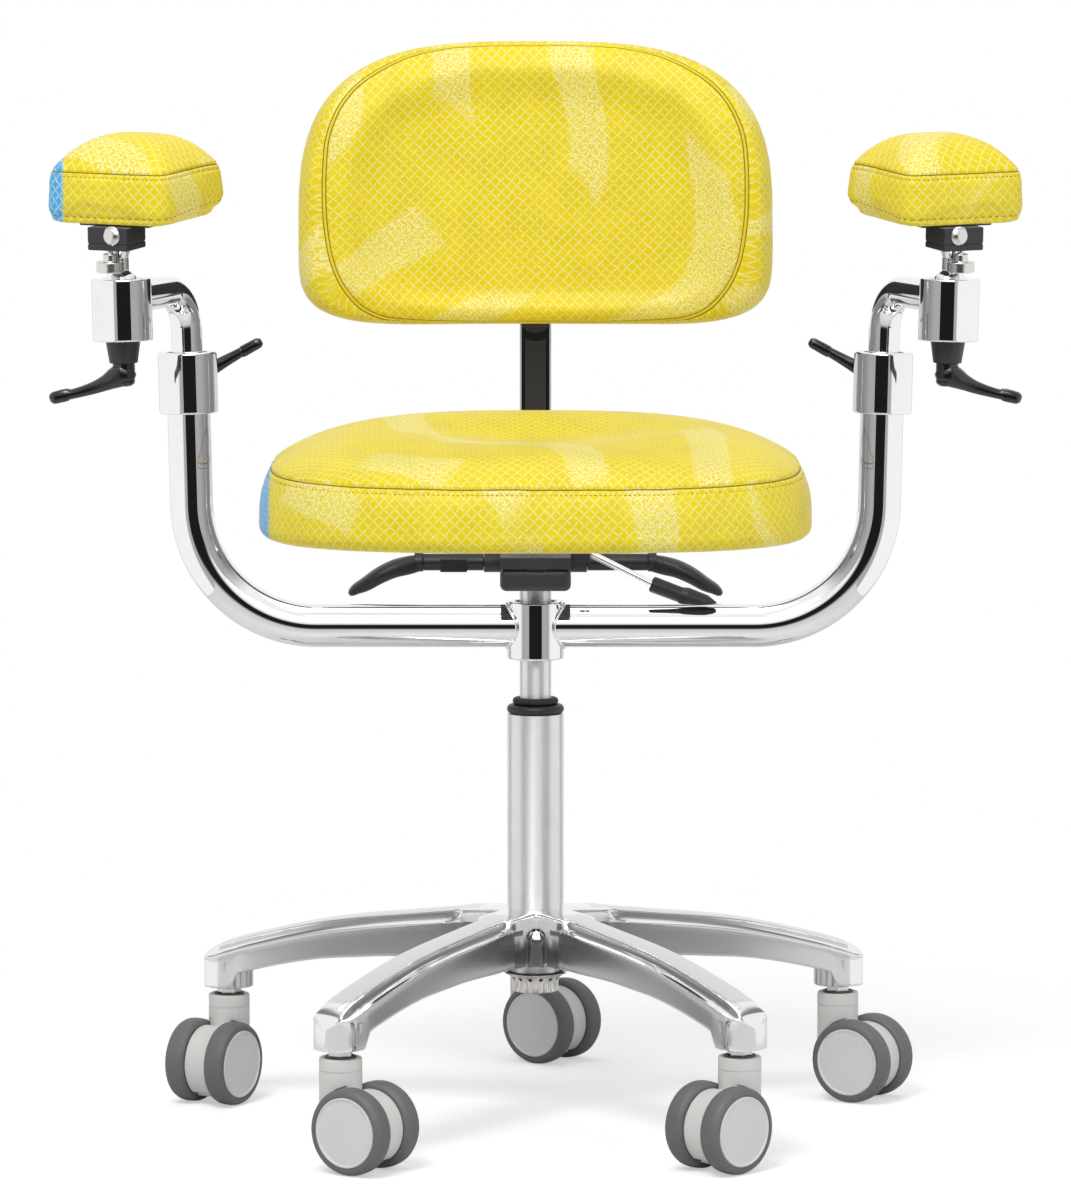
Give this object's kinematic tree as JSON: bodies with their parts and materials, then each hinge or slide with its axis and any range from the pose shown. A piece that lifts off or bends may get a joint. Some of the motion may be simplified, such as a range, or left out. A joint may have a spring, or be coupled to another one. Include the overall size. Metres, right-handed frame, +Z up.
{
  "type": "microscope chair",
  "caption": "Swivel chair on a five-leg caster base with gas lift, padded seat and backrest, and a tubular yoke carrying adjustable arm pads.",
  "frame": {"origin": "on the floor, on the axis of the column", "axes": "+Z up along the column, -Y the way the sitter faces, +X to the right as seen from the front"},
  "size_m": [0.8344, 0.6161, 0.955],
  "materials": {
    "cast_alloy": "polished die casting, bright with soft reflections",
    "satin_tube": "satin chromed tube",
    "chrome": "mirror chrome plating",
    "bright_steel": "bright turned steel",
    "inner_steel": "plain ground steel, hidden in use",
    "black_plastic": "black moulded plastic, slightly satin",
    "gloss_black": "black moulded lever plastic, glossy",
    "bush_plastic": "black sliding plastic",
    "rubber_black": "soft black rubber",
    "mech_paint": "dark grey powder coat",
    "plate_paint": "black powder coat",
    "caster_grey": "warm light grey moulded plastic",
    "wheel_grey": "soft grey tread round a light grey core",
    "seal_grey": "dark grey plastic",
    "vinyl_yellow": "yellow coated fabric with a fine pale woven print",
    "board_black": "black moulded shell",
    "inlay_grey": "dark grey plastic strip"
  },
  "bodies": {
    "base": {"star_base": "cast_alloy", "column_outer_tube": "satin_tube", "column_guide_bush": "bush_plastic", "column_buffer_ring": "rubber_black", "column_foot_ring": "inner_steel", "caster_stems": "bright_steel", "caster_seal_rings": "seal_grey"},
    "piston": {"piston_rod": "inner_steel", "thrust_bearing": "inner_steel"},
    "lift": {"pressure_tube": "satin_tube", "mechanism_body": "mech_paint", "mechanism_cover": "mech_paint", "seat_tilt_pin": "inner_steel", "back_pivot_pin": "inner_steel", "yoke_thrust_ring": "inner_steel"},
    "seat": {"seat_plate": "plate_paint", "seat_board": "board_black", "seat_cushion": "vinyl_yellow"},
    "back_arm": {"back_bar": "chrome", "back_bar_inlay": "inlay_grey"},
    "back": {"back_bracket": "black_plastic", "back_board": "board_black", "back_cushion": "vinyl_yellow"},
    "yoke": {"arm_yoke": "chrome", "yoke_bushes": "bush_plastic"},
    "height_lever": {"height_lever": "black_plastic"},
    "tilt_lever": {"tilt_lever": "black_plastic"},
    "back_lever": {"back_lever_rod": "bright_steel", "back_lever_grip": "black_plastic"},
    "right_bush": {"right_guide_bush": "bush_plastic"},
    "right_arm": {"right_arm_tube": "chrome"},
    "right_height_clamp": {"right_height_clamp": "gloss_black"},
    "right_pad_clamp": {"right_pad_clamp": "gloss_black"},
    "right_ball": {"right_ball_stud": "chrome"},
    "right_pad": {"right_pad_block": "black_plastic", "right_pad_cushion": "vinyl_yellow"},
    "right_thumb_screw": {"right_thumb_screw": "bright_steel"},
    "left_bush": {"left_guide_bush": "bush_plastic"},
    "left_arm": {"left_arm_tube": "chrome"},
    "left_height_clamp": {"left_height_clamp": "gloss_black"},
    "left_pad_clamp": {"left_pad_clamp": "gloss_black"},
    "left_ball": {"left_ball_stud": "chrome"},
    "left_pad": {"left_pad_block": "black_plastic", "left_pad_cushion": "vinyl_yellow"},
    "left_thumb_screw": {"left_thumb_screw": "bright_steel"},
    "caster_1": {"caster_1_housing": "caster_grey"},
    "caster_1_wheel_left": {"caster_1_wheel_left": "wheel_grey"},
    "caster_1_wheel_right": {"caster_1_wheel_right": "wheel_grey"},
    "caster_2": {"caster_2_housing": "caster_grey"},
    "caster_2_wheel_left": {"caster_2_wheel_left": "wheel_grey"},
    "caster_2_wheel_right": {"caster_2_wheel_right": "wheel_grey"},
    "caster_3": {"caster_3_housing": "caster_grey"},
    "caster_3_wheel_left": {"caster_3_wheel_left": "wheel_grey"},
    "caster_3_wheel_right": {"caster_3_wheel_right": "wheel_grey"},
    "caster_4": {"caster_4_housing": "caster_grey"},
    "caster_4_wheel_left": {"caster_4_wheel_left": "wheel_grey"},
    "caster_4_wheel_right": {"caster_4_wheel_right": "wheel_grey"},
    "caster_5": {"caster_5_housing": "caster_grey"},
    "caster_5_wheel_left": {"caster_5_wheel_left": "wheel_grey"},
    "caster_5_wheel_right": {"caster_5_wheel_right": "wheel_grey"}
  },
  "joints": [
    {"name": "seat_swivel", "type": "hinge", "parent": "base", "child": "piston", "pos_m": [0, 0, 0.172], "axis": [0, 0, 1], "continuous": true},
    {"name": "seat_lift", "type": "slide", "parent": "piston", "child": "lift", "axis": [0, 0, 1], "range_m": [-0.03, 0.13]},
    {"name": "seat_tilt", "type": "hinge", "parent": "lift", "child": "seat", "pos_m": [0, 0.062, 0.497], "axis": [-1, 0, 0], "range_deg": [-2.5, 8]},
    {"name": "back_tilt", "type": "hinge", "parent": "lift", "child": "back_arm", "pos_m": [0, 0.09, 0.487], "axis": [-1, 0, 0], "range_deg": [-5, 15]},
    {"name": "back_height", "type": "slide", "parent": "back_arm", "child": "back", "axis": [0, 0, 1], "range_m": [-0.02, 0.06]},
    {"name": "yoke_swing", "type": "hinge", "parent": "lift", "child": "yoke", "pos_m": [0, 0, 0.44], "axis": [0, 0, 1], "range_deg": [-25, 25]},
    {"name": "right_arm_swing", "type": "hinge", "parent": "yoke", "child": "right_bush", "pos_m": [0.30397, 0, 0.5475], "axis": [0.0227, 0, 0.9997], "range_deg": [-30, 60]},
    {"name": "right_arm_height", "type": "slide", "parent": "right_bush", "child": "right_arm", "axis": [0.0227, 0, 0.9997], "range_m": [-0.01, 0.08]},
    {"name": "right_pad_tilt", "type": "hinge", "parent": "right_arm", "child": "right_ball", "pos_m": [0.35734, -0.10963, 0.74785], "axis": [-0.9135, -0.4064, -0.0212], "range_deg": [-10, 10]},
    {"name": "right_pad_swivel", "type": "hinge", "parent": "right_ball", "child": "right_pad", "pos_m": [0.35776, -0.11225, 0.78024], "axis": [0.0128, -0.0807, 0.9967], "range_deg": [-60, 60]},
    {"name": "right_height_clamp_turn", "type": "hinge", "parent": "yoke", "child": "right_height_clamp", "pos_m": [0.30643, 0, 0.65598], "axis": [0, -1, 0], "range_deg": [0, 80]},
    {"name": "right_pad_clamp_turn", "type": "hinge", "parent": "right_arm", "child": "right_pad_clamp", "pos_m": [0.35625, -0.10963, 0.69986], "axis": [0.0227, 0, 0.9997], "range_deg": [0, 90]},
    {"name": "right_thumb_screw_turn", "type": "hinge", "parent": "right_pad", "child": "right_thumb_screw", "pos_m": [0.36561, -0.12981, 0.77871], "axis": [0.0128, -0.0807, 0.9967], "range_deg": [0, 180]},
    {"name": "left_arm_swing", "type": "hinge", "parent": "yoke", "child": "left_bush", "pos_m": [-0.30397, 0, 0.5475], "axis": [0.0227, 0, -0.9997], "range_deg": [-30, 60]},
    {"name": "left_arm_height", "type": "slide", "parent": "left_bush", "child": "left_arm", "axis": [-0.0227, 0, 0.9997], "range_m": [-0.01, 0.08]},
    {"name": "left_pad_tilt", "type": "hinge", "parent": "left_arm", "child": "left_ball", "pos_m": [-0.35734, -0.10963, 0.74785], "axis": [0.9135, -0.4064, -0.0212], "range_deg": [-10, 10]},
    {"name": "left_pad_swivel", "type": "hinge", "parent": "left_ball", "child": "left_pad", "pos_m": [-0.35776, -0.11225, 0.78024], "axis": [0.0128, 0.0807, -0.9967], "range_deg": [-60, 60]},
    {"name": "left_height_clamp_turn", "type": "hinge", "parent": "yoke", "child": "left_height_clamp", "pos_m": [-0.30643, 0, 0.65598], "axis": [0, 1, 0], "range_deg": [0, 80]},
    {"name": "left_pad_clamp_turn", "type": "hinge", "parent": "left_arm", "child": "left_pad_clamp", "pos_m": [-0.35625, -0.10963, 0.69986], "axis": [0.0227, 0, -0.9997], "range_deg": [0, 90]},
    {"name": "left_thumb_screw_turn", "type": "hinge", "parent": "left_pad", "child": "left_thumb_screw", "pos_m": [-0.36561, -0.12981, 0.77871], "axis": [0.0128, 0.0807, -0.9967], "range_deg": [0, 180]},
    {"name": "height_lever_pull", "type": "hinge", "parent": "lift", "child": "height_lever", "pos_m": [0.046, 0.045, 0.492], "axis": [-1, 0, 0], "range_deg": [0, 12], "stiffness_Nm_per_rad": 0.8},
    {"name": "tilt_lever_pull", "type": "hinge", "parent": "lift", "child": "tilt_lever", "pos_m": [-0.046, 0.045, 0.492], "axis": [-1, 0, 0], "range_deg": [0, 12], "stiffness_Nm_per_rad": 0.8},
    {"name": "back_lever_pull", "type": "hinge", "parent": "lift", "child": "back_lever", "pos_m": [0.044, -0.012, 0.5075], "axis": [0, -1, 0], "range_deg": [0, 8], "stiffness_Nm_per_rad": 1.6},
    {"name": "caster_1_swivel", "type": "hinge", "parent": "base", "child": "caster_1", "pos_m": [-0.00506, 0.28996, 0.096], "axis": [0, 0, 1], "continuous": true},
    {"name": "caster_2_swivel", "type": "hinge", "parent": "base", "child": "caster_2", "pos_m": [-0.27733, 0.08479, 0.096], "axis": [0, 0, 1], "continuous": true},
    {"name": "caster_3_swivel", "type": "hinge", "parent": "base", "child": "caster_3", "pos_m": [-0.16634, -0.23755, 0.096], "axis": [0, 0, 1], "continuous": true},
    {"name": "caster_4_swivel", "type": "hinge", "parent": "base", "child": "caster_4", "pos_m": [0.17453, -0.2316, 0.096], "axis": [0, 0, 1], "continuous": true},
    {"name": "caster_5_swivel", "type": "hinge", "parent": "base", "child": "caster_5", "pos_m": [0.2742, 0.09441, 0.096], "axis": [0, 0, 1], "continuous": true},
    {"name": "caster_1_roll_left", "type": "hinge", "parent": "caster_1", "child": "caster_1_wheel_left", "pos_m": [0.01543, 0.27395, 0.0375], "axis": [0.6157, 0.788, 0], "continuous": true},
    {"name": "caster_1_roll_right", "type": "hinge", "parent": "caster_1", "child": "caster_1_wheel_right", "pos_m": [0.01543, 0.27395, 0.0375], "axis": [0.6157, 0.788, 0], "continuous": true},
    {"name": "caster_2_roll_left", "type": "hinge", "parent": "caster_2", "child": "caster_2_wheel_left", "pos_m": [-0.29033, 0.06227, 0.0375], "axis": [0.866, -0.5, 0], "continuous": true},
    {"name": "caster_2_roll_right", "type": "hinge", "parent": "caster_2", "child": "caster_2_wheel_right", "pos_m": [-0.29033, 0.06227, 0.0375], "axis": [0.866, -0.5, 0], "continuous": true},
    {"name": "caster_3_roll_left", "type": "hinge", "parent": "caster_3", "child": "caster_3_wheel_left", "pos_m": [-0.14504, -0.25247, 0.0375], "axis": [0.5736, 0.8192, 0], "continuous": true},
    {"name": "caster_3_roll_right", "type": "hinge", "parent": "caster_3", "child": "caster_3_wheel_right", "pos_m": [-0.14504, -0.25247, 0.0375], "axis": [0.5736, 0.8192, 0], "continuous": true},
    {"name": "caster_4_roll_left", "type": "hinge", "parent": "caster_4", "child": "caster_4_wheel_left", "pos_m": [0.15614, -0.24999, 0.0375], "axis": [0.7071, -0.7071, 0], "continuous": true},
    {"name": "caster_4_roll_right", "type": "hinge", "parent": "caster_4", "child": "caster_4_wheel_right", "pos_m": [0.15614, -0.24999, 0.0375], "axis": [0.7071, -0.7071, 0], "continuous": true},
    {"name": "caster_5_roll_left", "type": "hinge", "parent": "caster_5", "child": "caster_5_wheel_left", "pos_m": [0.29625, 0.08064, 0.0375], "axis": [0.5299, 0.848, 0], "continuous": true},
    {"name": "caster_5_roll_right", "type": "hinge", "parent": "caster_5", "child": "caster_5_wheel_right", "pos_m": [0.29625, 0.08064, 0.0375], "axis": [0.5299, 0.848, 0], "continuous": true}
  ]
}
